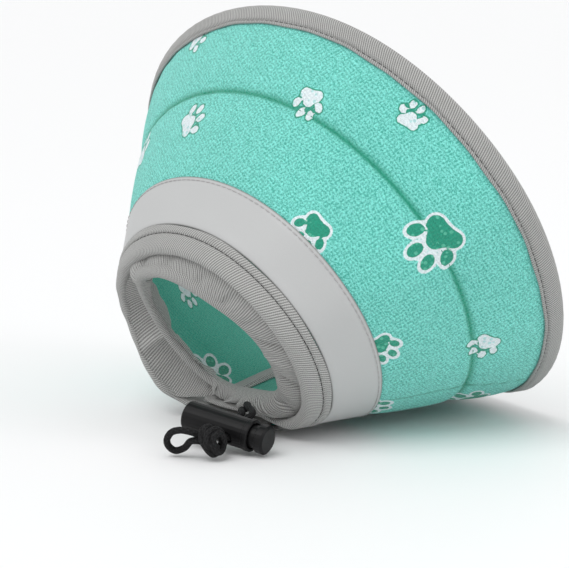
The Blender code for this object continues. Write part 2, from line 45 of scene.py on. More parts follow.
# ------------------------------------------------ the cone's wall, as in CAD
AXIS_TILT = radians(34.35)
HALF_WIDTH, HALF_HEIGHT, LOWER_POWER = 0.668, 0.4856, 2.447
SINK = 0.5 * MM
RIM_EDGE, QUILT, BAND_TOP, BAND_LOW = 200.0, 161.3, 122.9, 101.9      # mm
NECK_EDGE, NECK_LIP, CORNER = 89.9, 101.5, 14.0
FLAP_START, FLAP_END = -0.125, 0.26
RAMP = (-0.36, -0.125)
FLAP_DEPTH = 7.0
APEX = np.array([0.0, 0.12215, 0.0])
AX = np.array([0.0, cos(AXIS_TILT), sin(AXIS_TILT)])
ACROSS = np.array([1.0, 0.0, 0.0])
UPWARD = np.array([0.0, -sin(AXIS_TILT), cos(AXIS_TILT)])


def wrap_table(n=7200):
    phi = np.linspace(-pi / 2, -5 * pi / 2, n + 1)
    c, s = np.cos(phi), np.sin(phi)
    power = np.where(s >= 0, 2.0, LOWER_POWER)
    low = np.where(s >= 0, HALF_HEIGHT, tan(AXIS_TILT))
    y = HALF_WIDTH * np.sign(c) * np.abs(c) ** (2 / power)
    v = low * np.sign(s) * np.abs(s) ** (2 / power)
    d = AX + y[:, None] * ACROSS + v[:, None] * UPWARD
    d /= np.linalg.norm(d, axis=1)[:, None]
    q = np.concatenate([[0.0], np.cumsum(np.linalg.norm(np.diff(d, axis=0), axis=1))])
    even = np.linspace(0, q[-1], 3601)
    tab = np.stack([np.interp(even, q, d[:, k]) for k in range(3)], 1)
    return even, tab / np.linalg.norm(tab, axis=1)[:, None], q[-1]


Q_TAB, RAY_TAB, TURN = wrap_table()


def ray(q):
    q = np.mod(np.asarray(q, float), TURN)
    r = np.stack([np.interp(q, Q_TAB, RAY_TAB[:, k]) for k in range(3)], -1)
    return r / np.linalg.norm(r, axis=-1)[..., None]


def inward(q):
    d = 0.02
    n = np.cross(ray(q), ray(np.asarray(q) + d) - ray(np.asarray(q) - d))
    n /= np.linalg.norm(n, axis=-1)[..., None]
    return n * np.sign(np.einsum("...j,j->...", n, AX))[..., None]


def smooth(x, a, b):
    t = np.clip((np.asarray(x, float) - a) / (b - a), 0.0, 1.0)
    return t * t * (3 - 2 * t)


def flap_depth(q):
    return FLAP_DEPTH * smooth(q, TURN + RAMP[0], TURN + RAMP[1])


def settle(p, floor=0.0):
    """Apex frame in metres to the part's frame, pressed flat on the floor."""
    p = np.array(p, float)
    p[..., 2] = np.maximum(p[..., 2] - SINK, floor)
    return p - APEX


def slack(slant, q, z):
    """How the gathered lower half of the neck hangs out of the cone, mm."""
    turn = np.mod(q + 1.5, TURN) - 1.5
    low = smooth(turn, -0.52, -0.14) * (1 - smooth(turn, 0.40, 1.05))
    w = low * (1 - smooth(slant, 90.0, 128.0))
    return np.stack([0 * w, -8.0 * w, -3.5 * smooth(z, 5.0, 18.0) * w], axis=-1)


def wall(slant, q, depth, floor=0.0):
    """Point of the wall; slant and depth in mm."""
    slant, q, depth = np.broadcast_arrays(slant, q, depth)
    h = depth + flap_depth(q)
    p = slant[..., None] * ray(q) + h[..., None] * inward(q)
    return settle((p + slack(slant, q, p[..., 2])) * MM, floor)


# ------------------------------------------------------------------ meshes
def make_object(name, verts, faces, uv=None, attrs=None, smooth_angle=None):
    mesh = bpy.data.meshes.new(name)
    mesh.from_pydata(np.asarray(verts, float).tolist(), [], faces)
    mesh.validate()
    if uv is not None:
        layer = mesh.uv_layers.new(name="pattern")
        idx = np.empty(len(mesh.loops), np.int32)
        mesh.loops.foreach_get("vertex_index", idx)
        layer.data.foreach_set("uv", np.asarray(uv, np.float32)[idx].ravel())
    for key, val in (attrs or {}).items():
        a = mesh.attributes.new(key, "FLOAT", "POINT")
        a.data.foreach_set("value", np.asarray(val, np.float32).ravel())
    mesh.shade_smooth()
    if smooth_angle is not None:
        mesh.set_sharp_from_angle(angle=radians(smooth_angle))
    obj = bpy.data.objects.new(name, mesh)
    bpy.context.scene.collection.objects.link(obj)
    return obj


def sweep(name, pts, uv=None, attrs=None, ring=False, caps=True):
    """Closed sections (columns, points, 3) joined along the columns."""
    n, m = pts.shape[:2]
    i = np.arange(n if ring else n - 1)
    k = np.arange(m)
    a = i[:, None] * m + k
    b = i[:, None] * m + (k + 1) % m
    c = ((i + 1) % n)[:, None] * m + (k + 1) % m
    d = ((i + 1) % n)[:, None] * m + k
    faces = np.stack([a, b, c, d], -1).reshape(-1, 4).tolist()
    verts = pts.reshape(-1, 3)
    uvs = None if uv is None else uv.reshape(-1, 2)
    extra = {key: val.reshape(-1) for key, val in (attrs or {}).items()}
    if caps and not ring:
        mids = np.stack([pts[0].mean(0), pts[-1].mean(0)])
        base = len(verts)
        verts = np.vstack([verts, mids])
        if uvs is not None:
            uvs = np.vstack([uvs, uvs[0], uvs[(n - 1) * m]])
        extra = {key: np.concatenate([val, val[:1], val[-1:]]) for key, val in extra.items()}
        for kk in range(m):
            k2 = (kk + 1) % m
            faces.append([base, k2, kk])
            faces.append([base + 1, (n - 1) * m + kk, (n - 1) * m + k2])
    obj = make_object(name, verts, faces, uvs, extra)
    bm = bmesh.new()
    bm.from_mesh(obj.data)
    if bm.calc_volume(signed=True) < 0:
        bmesh.ops.reverse_faces(bm, faces=bm.faces[:])
        bm.to_mesh(obj.data)
        obj.data.shade_smooth()
    bm.free()
    return obj


def curve_through(points, step, closed=False):
    """Catmull-Rom through the points, read at equal steps."""
    p = np.asarray(points, float)
    if closed:
        ext = np.vstack([p[-1], p, p[0], p[1]])
    else:
        ext = np.vstack([2 * p[0] - p[1], p, 2 * p[-1] - p[-2]])
    out = []
    t = np.linspace(0, 1, 20, endpoint=False)[:, None]
    for k in range(1, len(ext) - 2):
        a, b, c, d = ext[k - 1], ext[k], ext[k + 1], ext[k + 2]
        out.append(0.5 * (2 * b + (c - a) * t + (2 * a - 5 * b + 4 * c - d) * t ** 2
                          + (3 * b - a - 3 * c + d) * t ** 3))
    out = np.vstack(out + [ext[-2][None]])
    run = np.concatenate([[0], np.cumsum(np.linalg.norm(np.diff(out, axis=0), axis=1))])
    n = max(3, int(round(run[-1] / step)))
    at = np.linspace(0, run[-1], n + 1)
    if closed:
        at = at[:-1]
    return np.stack([np.interp(at, run, out[:, k]) for k in range(out.shape[1])], 1)


def frames_along(path):
    """Tangents and two turning-free normals along a path."""
    tan_ = np.gradient(path, axis=0)
    tan_ /= np.linalg.norm(tan_, axis=1)[:, None]
    ref = np.array([0, 0, 1.0]) if abs(tan_[0][2]) < 0.9 else np.array([1.0, 0, 0])
    u = np.cross(tan_[0], ref)
    u /= np.linalg.norm(u)
    us = [u]
    for k in range(1, len(path)):
        u = us[-1] - tan_[k] * np.dot(us[-1], tan_[k])
        us.append(u / np.linalg.norm(u))
    us = np.array(us)
    return tan_, us, np.cross(tan_, us)


# --------------------------------------------------------------- materials
class Nodes:
    """Small helper that writes node trees as expressions."""

    def __init__(self, name, color, rough, metallic=0.0):
        self.mat = bpy.data.materials.new(name)
        self.mat.use_nodes = True
        self.t = self.mat.node_tree
        self.b = self.t.nodes["Principled BSDF"]
        self.b.inputs["Base Color"].default_value = (*color, 1)
        self.b.inputs["Roughness"].default_value = rough
        self.b.inputs["Metallic"].default_value = metallic

    def put(self, socket, value):
        if isinstance(value, bpy.types.NodeSocket):
            self.t.links.new(value, socket)
        elif isinstance(value, tuple) and len(value) == 3 and socket.type == "RGBA":
            socket.default_value = (*value, 1)
        else:
            socket.default_value = value

    def add(self, kind, values=(), **props):
        n = self.t.nodes.new(kind)
        for k, v in props.items():
            setattr(n, k, v)
        for k, v in dict(values).items():
            self.put(n.inputs[k], v)
        return n

    def m(self, op, a, b=None, c=None, clamp=False):
        n = self.t.nodes.new("ShaderNodeMath")
        n.operation = op
        n.use_clamp = clamp
        for k, v in enumerate((a, b, c)):
            if v is not None:
                self.put(n.inputs[k], v)
        return n.outputs[0]

    def uv(self):
        n = self.add("ShaderNodeUVMap", uv_map="pattern")
        s = self.add("ShaderNodeSeparateXYZ", {0: n.outputs[0]})
        return s.outputs[0], s.outputs[1], n.outputs[0]

    def attr(self, name):
        return self.add("ShaderNodeAttribute", attribute_name=name).outputs["Fac"]

    def mix(self, fac, a, b, blend="MIX"):
        n = self.t.nodes.new("ShaderNodeMix")
        n.data_type = "RGBA"
        n.blend_type = blend
        self.put(n.inputs[0], fac)
        self.put(n.inputs[6], a if isinstance(a, bpy.types.NodeSocket) else (*a, 1))
        self.put(n.inputs[7], b if isinstance(b, bpy.types.NodeSocket) else (*b, 1))
        return n.outputs[2]

    def noise(self, scale, detail=2.0, vec=None, rough=0.5):
        n = self.add("ShaderNodeTexNoise", {"Scale": scale, "Detail": detail, "Roughness": rough})
        if vec is None:
            vec = self.add("ShaderNodeTexCoord").outputs["Object"]
        self.put(n.inputs["Vector"], vec)
        return n.outputs["Fac"]

    def ramp(self, x, lo, hi):
        n = self.add("ShaderNodeMapRange", {"Value": x, "From Min": lo, "From Max": hi})
        n.interpolation_type = "SMOOTHSTEP"
        return n.outputs[0]

    def shade(self, color, f):
        """Multiply a colour by a grey factor socket."""
        c = self.add("ShaderNodeCombineColor", {0: f, 1: f, 2: f}).outputs[0]
        return self.mix(1.0, color, c, "MULTIPLY")

    def bump(self, height, strength, distance):
        n = self.add("ShaderNodeBump", {"Strength": strength, "Distance": distance,
                                        "Height": height})
        self.t.links.new(n.outputs[0], self.b.inputs["Normal"])


def mesh_cloth(name, base, deep, pale, dark, inside=False):
    """Air mesh: staggered raised cells with painted shade between them, a random darker speckle, and
    the print.
    """
    g = Nodes(name, base, 0.85)
    u, v, _ = g.uv()
    warp = g.m("MULTIPLY", g.m("SUBTRACT", g.noise(120, 2), 0.5), 1.9)
    uu = g.m("ADD", u, warp)
    vv = g.m("SUBTRACT", v, warp)
    cu = g.m("COSINE", g.m("MULTIPLY", uu, 2 * pi / 2.3))
    cv = g.m("COSINE", g.m("MULTIPLY", vv, 2 * pi / 2.0))
    cell01 = g.m("MULTIPLY_ADD", g.m("MULTIPLY", cu, cv), 0.5, 0.5)
    grain = g.noise(1500, 3.0, rough=0.75)
    fine = g.ramp(grain, 0.30, 0.70)
    broad = g.noise(22, 3.0)
    height = g.m("ADD", g.m("MULTIPLY", g.m("POWER", cell01, 0.8), 0.75),
                 g.m("MULTIPLY", fine, 1.0))
    # colour: random speckle, darker between the raised cells as painted shade, uneven overall
    tone = g.m("MULTIPLY_ADD", cell01, 0.10, 0.95)
    tone = g.m("MULTIPLY", tone, g.m("MULTIPLY_ADD", fine, 0.30, 0.87))
    tone = g.m("MULTIPLY", tone, g.m("MULTIPLY_ADD", broad, 0.14, 0.93))
    lining = g.attr("lining")
    tone = g.m("MULTIPLY", tone, g.m("MULTIPLY_ADD", lining, -0.22, 1.0))
    ground = g.mix(g.ramp(g.m("MULTIPLY_ADD", fine, 0.7, g.m("MULTIPLY", cell01, 0.3)),
                          0.1, 0.75), deep, base)
    ground = g.mix(g.m("MULTIPLY", lining, 0.85), ground, (0.045, 0.50, 0.36))
    # the stitched line and the painted shade beside it, printed paws
    seam_and_shade = g.ramp(g.attr("seam_and_shade"), 0.0, 1.0)
    ground = g.mix(seam_and_shade, ground, dark)
    d = g.attr("paw")
    d = g.m("ADD", d, g.m("MULTIPLY", g.m("SUBTRACT", g.noise(900, 1), 0.5), 0.22))
    kind = g.attr("paw_kind")
    fill = g.m("SUBTRACT", 1.0, g.ramp(d, -0.15, 0.05))
    ring_green = g.m("SUBTRACT", 1.0, g.ramp(d, 0.36, 0.52))
    ring_white = g.m("SUBTRACT", 1.0, g.ramp(d, 0.85, 1.15))
    spots = g.add("ShaderNodeTexVoronoi", {"Scale": 0.40, "Randomness": 0.6},
                  distance="EUCLIDEAN")
    g.put(spots.inputs["Vector"], g.add("ShaderNodeUVMap", uv_map="pattern").outputs[0])
    spot = g.ramp(spots.outputs["Distance"], 0.22, 0.36)
    green = g.mix(spot, (0.10, 0.52, 0.36), dark)
    white = g.mix(spot, (0.50, 0.80, 0.80), pale)
    small = g.mix(ring_green, ground, dark)
    small = g.mix(fill, small, white)
    large = g.mix(ring_white, ground, pale)
    large = g.mix(fill, large, green)
    color = g.mix(kind, small, large)
    g.put(g.b.inputs["Base Color"], g.shade(color, tone))
    g.b.inputs["Sheen Weight"].default_value = 0.25
    g.b.inputs["Sheen Roughness"].default_value = 0.5
    g.b.inputs["Specular IOR Level"].default_value = 0.25
    g.bump(height, 0.75, 0.00045)
    return g.mat


def rib_knit(name, color, pitch=0.85, lean=0.45, contrast=0.34, bump=0.6):
    """Ribbed knit: leaning ribs made of short loops."""
    g = Nodes(name, color, 0.95)
    u, v, _ = g.uv()
    wob = g.m("MULTIPLY", g.m("SUBTRACT", g.noise(160, 1), 0.5), 0.5)
    a = g.m("ADD", g.m("ADD", u, g.m("MULTIPLY", v, lean)), wob)
    rib = g.m("MULTIPLY_ADD", g.m("COSINE", g.m("MULTIPLY", a, 2 * pi / pitch)), 0.5, 0.5)
    b = g.m("SUBTRACT", v, g.m("MULTIPLY", u, lean))
    shift = g.m("MULTIPLY", g.m("SIGN", g.m("SINE", g.m("MULTIPLY", a, pi / pitch))), 0.25)
    loop = g.m("MULTIPLY_ADD", g.m("COSINE", g.m("MULTIPLY", g.m("ADD", b, shift),
                                                 2 * pi / (pitch * 0.8))), 0.5, 0.5)
    fine = g.noise(3000, 2.0, rough=0.7)
    broad = g.noise(30, 2.0)
    h = g.m("ADD", g.m("MULTIPLY", rib, g.m("MULTIPLY_ADD", loop, 0.45, 0.55)),
            g.m("MULTIPLY", fine, 0.35))
    # the colour follows the rib and loop relief: painted shade, lighter on the ribs and darker in
    # the valleys, with random tone from the fine noise
    tone = g.m("MULTIPLY_ADD", h, contrast, 1.0 - contrast * 0.72)
    tone = g.m("MULTIPLY", tone, g.m("MULTIPLY_ADD", broad, 0.14, 0.93))
    g.put(g.b.inputs["Base Color"], g.shade(color, tone))
    g.b.inputs["Sheen Weight"].default_value = 0.2
    g.b.inputs["Specular IOR Level"].default_value = 0.15
    g.bump(h, bump, 0.0003)
    return g.mat


def tape_material():
    g = Nodes("tape", (0.52, 0.525, 0.53), 0.42)
    fine = g.noise(1900, 2.0)
    broad = g.noise(18, 2.0)
    tone = g.m("MULTIPLY", g.m("MULTIPLY_ADD", fine, 0.05, 0.975),
               g.m("MULTIPLY_ADD", broad, 0.10, 0.95))
    # painted shadow: the colour falls to a thin dark line along both edges of the tape
    edge = g.ramp(g.attr("edge"), 0.0, 1.0)
    color = g.mix(edge, (0.26, 0.26, 0.255), (0.47, 0.475, 0.475))
    g.put(g.b.inputs["Base Color"], g.shade(color, tone))
    g.put(g.b.inputs["Roughness"], g.m("MULTIPLY_ADD", broad, 0.16, 0.36))
    g.b.inputs["Specular IOR Level"].default_value = 0.2
    g.b.inputs["Coat Weight"].default_value = 0.05
    g.b.inputs["Coat Roughness"].default_value = 0.4
    g.bump(g.m("ADD", g.m("MULTIPLY", fine, 0.3), broad), 0.25, 0.0004)
    return g.mat


def thread_material(name, color):
    g = Nodes(name, color, 0.8)
    n = g.noise(2500, 2.0)
    g.put(g.b.inputs["Base Color"], g.shade(color, g.m("MULTIPLY_ADD", n, 0.5, 0.75)))
    g.bump(n, 0.3, 0.0001)
    return g.mat


def braid_material():
    """Braided sleeve: two families of strands crossing at the cell's edges."""
    g = Nodes("braid", (0.012, 0.012, 0.013), 0.75)
    u, v, _ = g.uv()
    a = g.m("SINE", g.m("MULTIPLY", g.m("ADD", g.m("MULTIPLY", u, 6.0), v), pi))
    b = g.m("SINE", g.m("MULTIPLY", g.m("SUBTRACT", g.m("MULTIPLY", u, 6.0), v), pi))
    h = g.m("MAXIMUM", g.m("ABSOLUTE", a), g.m("ABSOLUTE", b))
    fine = g.noise(5000, 2.0)
    fleck = g.ramp(fine, 0.56, 0.72)
    # the colour follows the braid's relief: painted shade, darker between the strands; the flecks
    # are the yarn's own
    tone = g.m("MULTIPLY_ADD", g.m("POWER", h, 3.0), 1.2, 0.35)
    c = g.mix(fleck, (0.004, 0.004, 0.0045), (0.05, 0.05, 0.053))
    g.put(g.b.inputs["Base Color"], g.shade(c, tone))
    g.b.inputs["Specular IOR Level"].default_value = 0.25
    g.bump(g.m("ADD", h, g.m("MULTIPLY", fine, 0.5)), 0.9, 0.0003)
    return g.mat


def plastic_material():
    g = Nodes("lock_plastic_look", (0.014, 0.014, 0.016), 0.42)
    fine = g.noise(1400, 3.0)
    broad = g.noise(120, 3.0)
    g.put(g.b.inputs["Roughness"], g.m("MULTIPLY_ADD", broad, 0.22, 0.30))
    g.b.inputs["Specular IOR Level"].default_value = 0.2
    g.put(g.b.inputs["Base Color"], g.shade((0.005, 0.005, 0.0055),
                                            g.m("MULTIPLY_ADD", broad, 0.5, 0.8)))
    g.bump(fine, 0.12, 0.0002)
    return g.mat


MINT, MINT_DEEP = (0.235, 0.76, 0.68), (0.06, 0.50, 0.40)
PALE, DARK = (0.80, 0.90, 0.93), (0.018, 0.33, 0.215)
CLOTH = mesh_cloth("air_mesh", MINT, MINT_DEEP, PALE, DARK)
KNIT = rib_knit("binding_knit", (0.44, 0.44, 0.43), pitch=1.05, contrast=1.0, bump=1.0)
KNIT_CASING = rib_knit("casing_knit_look", (0.41, 0.41, 0.40), pitch=1.0, lean=0.2,
                       contrast=0.95, bump=1.0)
TAPE = tape_material()
THREAD_GREEN = thread_material("thread_green", (0.02, 0.30, 0.20))
THREAD_DARK = thread_material("thread_dark", (0.03, 0.03, 0.03))
THREAD_GREY = thread_material("thread_grey", (0.42, 0.40, 0.40))
BRAID = braid_material()
PLASTIC = plastic_material()


def dress(obj, material, slot, body="cone", *nodes):
    obj.data.materials.clear()
    obj.data.materials.append(material)
    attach(obj, body)
    if nodes:
        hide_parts(*nodes)
    return obj


# ------------------------------------------------------------- camera first
def add_camera():
    azimuth, elev = radians(42.80), radians(10.0)
    right = Vector((sin(azimuth), cos(azimuth), 0))
    away = Vector((-cos(azimuth), sin(azimuth), 0))
    fwd = away * cos(elev) - Vector((0, 0, sin(elev)))
    up = away * sin(elev) + Vector((0, 0, cos(elev)))
    cam = bpy.data.cameras.new("camera")
    cam.sensor_width = 36.0
    cam.sensor_fit = "HORIZONTAL"
    cam.lens = 36.0 * 2200.0 / 569.0
    cam.clip_end = 20.0
    obj = bpy.data.objects.new("camera", cam)
    bpy.context.scene.collection.objects.link(obj)
    place = Matrix((right, up, -fwd)).transposed().to_4x4()
    place.translation = Vector((0.6568, -0.5015, 0.2159)) - Vector(APEX) - Vector((0, 0, SINK))
    obj.matrix_world = place
    bpy.context.scene.camera = obj


add_camera()

# ------------------------------------------------------------ drawcord route
LOCK_LEFT = np.array([5.1, 50.0, 11.9])
LOCK_DIR = np.array([0.9511, 0.2713, -0.1473])
LOCK_DIR /= np.linalg.norm(LOCK_DIR)
WINDOW_DIR = np.array([0.207, -0.914, -0.349])
WINDOW_DIR -= np.dot(WINDOW_DIR, LOCK_DIR) * LOCK_DIR
WINDOW_DIR /= np.linalg.norm(WINDOW_DIR)
LOCK_UP = np.cross(LOCK_DIR, WINDOW_DIR)
WINDOW_AT, STRAND_STEP, CORD_R = 20.5, 1.6, 1.4
KNOT = np.array([29.0, 41.35, 7.6])
VIEW_RIGHT = np.array([0.679, 0.734, 0.0])
VIEW_RIGHT /= np.linalg.norm(VIEW_RIGHT)
VIEW_AWAY = np.array([-0.734, 0.679, 0.0])
VIEW_AWAY /= np.linalg.norm(VIEW_AWAY)
EXIT_ANGLE, EXIT_HALF = radians(-72.0), radians(7.5)
DIP_OUT, DIP_FORE, DIP_HALF = 1.0, 6.0, radians(30.0)
CASING_AXIAL, TUNNEL_R = 78.0, 3.3
OPENING = [(-134, 29.6), (-120, 32.0), (-108, 32.2), (-90, 31.0), (-69, 31.5),
           (-51, 37.0), (-45, 38.5), (-34, 34.9), (-14, 32.3), (5, 29.7),
           (26, 25.5), (49, 22.6), (74, 24.1), (90, 26.3), (110, 28.6),
           (133, 33.1), (154, 27.9), (180, 26.1), (208, 27.1)]
LOOP = [(-8.0, 3.2, 0.5), (-12.0, 3.8, 1.0), (-15.6, 2.7, 2.0), (-17.5, -0.5, 3.6),
        (-16.9, -3.6, 5.0), (-14.3, -5.5, 5.6), (-10.7, -4.0, 4.2), (-8.4, -1.0, 2.0)]


def pattern_angle(omega):
    y, v = RAY_TAB @ ACROSS, RAY_TAB @ UPWARD
    w = np.unwrap(np.arctan2(v, y))
    target = np.asarray(omega, float)
    target = target - 2 * pi * np.ceil((target - w[0]) / (2 * pi))
    return np.interp(-target, -w, Q_TAB)


def opening_radius(omega, blur_deg=12.0):
    a = np.radians([row[0] for row in OPENING])
    r = np.array([row[1] for row in OPENING])
    a = np.concatenate([a - 2 * pi, a, a + 2 * pi])
    r = np.concatenate([r, r, r])
    x = (np.asarray(omega) + pi) % (2 * pi) - pi
    blur = np.radians(np.linspace(-blur_deg, blur_deg, 13))
    return np.mean([np.interp(x + b, a, r) for b in blur], axis=0)


def casing_depth(q):
    q = (np.asarray(q) + 1.2) % TURN - 1.2
    both = smooth(q, RAMP[0] - 0.06, RAMP[1] - 0.06) * (1 - smooth(q, 0.30, 0.46))
    return 6.9 + FLAP_DEPTH * both


def casing_frame(omega):
    """In mm, apex frame: outer edge, tunnel centre, outward, front, length."""
    q = pattern_angle(omega)
    edge = 93.8 * ray(q) + casing_depth(q)[:, None] * inward(q)
    edge = edge + slack(np.full(len(q), 93.8), q, edge[:, 2])
    radial = np.cos(omega)[:, None] * ACROSS + np.sin(omega)[:, None] * UPWARD
    reach = np.einsum("ij,ij->i", edge, radial)
    r = np.minimum(opening_radius(omega), reach - 7.2) + TUNNEL_R + 0.2
    straight = CASING_AXIAL * AX + r[:, None] * radial
    away = (np.asarray(omega) - EXIT_ANGLE + pi) % (2 * pi) - pi
    dip = np.cos(np.clip(away / DIP_HALF, -1, 1) * pi / 2) ** 2
    tunnel = straight + dip[:, None] * (DIP_OUT * radial - DIP_FORE * AX)
    out = edge - tunnel
    length = np.linalg.norm(out, axis=1)
    out /= length[:, None]
    front = np.cross(out, np.cross(radial, AX))
    front /= np.linalg.norm(front, axis=1)[:, None]
    front *= np.sign(np.einsum("ij,j->i", front, -AX))[:, None]
    return edge, tunnel, out, front, length, straight


def lock_point(along, out=0.0, up=0.0):
    return LOCK_LEFT + LOCK_DIR * along + WINDOW_DIR * out + LOCK_UP * up


def here(points):
    """mm in the apex frame to metres in the part's frame (no settling)."""
    return np.asarray(points, float) * MM - APEX


def strand_route(which):
    """Exit of the casing, bend, lock window; in mm, apex frame."""
    omega = np.array([EXIT_ANGLE + EXIT_HALF - radians(1.0),
                      EXIT_ANGLE + EXIT_HALF - radians(0.2)])
    if which == 0:
        omega = np.array([EXIT_ANGLE + 2 * pi - EXIT_HALF + radians(1.0),
                          EXIT_ANGLE + 2 * pi - EXIT_HALF + radians(0.2)])
    tunnel = casing_frame(omega)[1]
    d = tunnel[0] - tunnel[1]
    d /= np.linalg.norm(d)
    start = tunnel[0] - np.array([0, 0, SINK / MM]) + d * 0.45
    along = WINDOW_AT + (-STRAND_STEP if which == 0 else STRAND_STEP)
    spread, rise = (-1.0, -0.3) if which == 0 else (1.0, 2.3)
    return [start, start + d * 0.8, start + d * 2.0 + np.array([0.0, -1.0, 0.0]),
            start + d * 2.2 + np.array([0.0, -5.0, rise]),
            lock_point(along + spread, -11.5, -0.6 * rise), lock_point(along, -7.0),
            lock_point(along, 0.0), lock_point(along, 5.6)]


# the overhand knot tied in both strands: (right, up, away) from its centre, mm
KNOT_ROUTE = [(0.6, 2.6, 4.4), (-1.6, 4.6, 2.4), (-3.2, 3.6, -0.6), (-2.2, 0.4, -3.4),
              (0.2, -3.2, -3.6), (2.4, -4.9, -0.6), (4.0, -2.4, 1.6), (4.2, 1.4, 0.6),
              (2.2, 4.0, -1.6), (-0.4, 2.6, -4.0), (-0.2, -0.8, -4.4), (0.8, -2.6, -1.6),
              (-1.2, -1.6, 1.6), (-3.6, 0.2, 1.8), (-5.6, 0.8, 1.0)]


def cord_path():
    a, b = strand_route(0), strand_route(1)
    knot = curve_through(np.array(KNOT_ROUTE), 0.6)
    tang = np.gradient(knot, axis=0)
    tang /= np.linalg.norm(tang, axis=1)[:, None]
    # the pair lies side by side on the knot's surface
    side = np.cross(tang, knot / np.linalg.norm(knot, axis=1)[:, None])
    side /= np.linalg.norm(side, axis=1)[:, None]
    ends = np.minimum(np.linspace(0, 6, len(knot)), 1)[:, None]
    base = np.array([0.0, 0.0, 0.0])

    def in_place(rows):
        return (KNOT + rows[:, :1] * VIEW_RIGHT + rows[:, 1:2] * np.array([0, 0, 1.0])
                + rows[:, 2:3] * VIEW_AWAY)

    one = in_place(knot - 1.2 * side * ends + base)
    two = in_place(knot + 1.2 * side * ends + base)
    loop = np.array([KNOT + VIEW_RIGHT * r + np.array([0, 0, z]) + VIEW_AWAY * w
                     for r, z, w in LOOP])
    if np.linalg.norm(one[-1] - loop[0]) > np.linalg.norm(two[-1] - loop[0]):
        one, two = two, one
    path = np.vstack([np.array(a), one[4::4], loop, two[4::4][::-1], np.array(b[::-1])])
    return curve_through(path, 0.42)


def tube_mesh(name, path_mm, radius, sides=16, pick=None):
    """Round cord with the braid's relief; UV = turns along, share around."""
    tan_, u, v = frames_along(path_mm)
    run = np.concatenate([[0], np.cumsum(np.linalg.norm(np.diff(path_mm, axis=0), axis=1))])
    ang = np.linspace(0, 2 * pi, sides, endpoint=False)
    around = ang / (2 * pi)
    # strands of the braid: crossing diagonals
    lay = 2.6
    s = run[:, None] / lay
    ripple = np.maximum(np.abs(np.sin(pi * (6 * around[None] + s))),
                        np.abs(np.sin(pi * (6 * around[None] - s))))
    rad = radius * (0.94 + 0.06 * ripple)
    pts = (path_mm[:, None] + rad[..., None] * (np.cos(ang)[None, :, None] * u[:, None]
                                                + np.sin(ang)[None, :, None] * v[:, None]))
    uv = np.stack([np.broadcast_to(around[None], s.repeat(sides, 1).shape),
                   s.repeat(sides, 1)], -1)
    return sweep(name, here(pts), uv)


CORD_PATH = cord_path()
CORD_PATH[:, 2] = np.maximum(CORD_PATH[:, 2], CORD_R + 0.02)
cord = tube_mesh("drawcord", CORD_PATH, CORD_R)
dress(cord, BRAID, "elastic_cord", "cone", "cord_strand_a", "cord_strand_b",
      "cord_loop", "cord_knot")


# ------------------------------------------------------------------ the print
# slant mm, pattern angle rad, heading (deg from the outward ray), size mm, kind
PAWS_OUT = [
    (147.6, 1.547, 58, 6.6, 0), (166.0, 1.919, 171, 6.0, 0), (184.0, 2.143, 348, 5.2, 0),
    (166.0, 2.744, 128, 6.0, 0), (124.5, 2.628, 74, 6.0, 1), (161.6, 2.394, 166, 9.6, 1),
    (127.0, 2.162, 183, 6.4, 1), (150.5, 1.235, 20, 7.4, 0), (190.5, 1.455, 95, 6.2, 0),
    (121.0, 2.955, 40, 6.6, 1), (169.0, 3.035, 200, 8.4, 1),
    (176.0, 1.10, 300, 9.0, 1), (141.0, 0.92, 110, 6.2, 0), (186.0, 0.80, 30, 6.4, 0),
    (158.0, 0.60, 200, 6.4, 0), (128.0, 0.58, 60, 6.2, 1), (178.0, 0.38, 150, 9.2, 1),
    (140.0, 0.22, 330, 6.2, 0), (165.0, 0.02, 80, 6.4, 0), (190.0, 3.30, 20, 6.0, 0),
    (146.0, 3.20, 100, 6.2, 0), (128.0, 0.05, 220, 6.0, 1)]
PAWS_IN = [
    (120.0, 0.95, 120, 6.4, 0), (112.0, 0.42, 60, 9.0, 1), (140.0, 0.70, 250, 6.2, 0),
    (165.0, 1.05, 30, 9.0, 1), (182.0, 0.60, 160, 6.0, 0), (150.0, 1.45, 200, 6.2, 0),
    (186.0, 1.60, 80, 6.0, 0), (130.0, 1.75, 10, 6.2, 1), (168.0, 1.95, 300, 9.2, 1),
    (146.0, 2.25, 130, 6.0, 0), (185.0, 2.35, 20, 6.2, 0), (126.0, 2.55, 80, 6.0, 0),
    (170.0, 2.70, 220, 6.2, 0), (150.0, 2.98, 330, 6.0, 1), (184.0, 3.10, 100, 6.0, 0),
    (128.0, 3.25, 150, 6.2, 0), (160.0, 0.25, 70, 6.2, 0), (186.0, 0.12, 340, 6.0, 0),
    (135.0, 0.08, 190, 6.2, 0), (163.0, 3.45, 20, 9.0, 1)]
PAD = [(-0.54, -0.13, 0.36), (0.50, -0.12, 0.36), (0.0, 0.34, 0.42), (0.0, 0.02, 0.42)]
TOES = [(-0.90, 0.60, -0.55), (-0.40, 1.24, -0.18), (0.36, 1.22, 0.2), (0.92, 0.62, 0.6)]


def paw_distance(x, y):
    """Distance to the nearest pad of the paw, in its own unit."""
    best = None
    k = 9.0
    acc = np.zeros_like(x)
    for cx, cy, r in PAD:
        acc += np.exp(-k * (np.hypot(x - cx, y - cy) - r))
    best = -np.log(acc) / k
    for cx, cy, lean in TOES:
        a, b = 0.27, 0.38
        dx, dy = x - cx, y - cy
        c, s = cos(lean), sin(lean)
        ex, ey = c * dx - s * dy, s * dx + c * dy
        rr = np.sqrt((ex / a) ** 2 + (ey / b) ** 2)
        best = np.minimum(best, (rr - 1) * a)
    return best


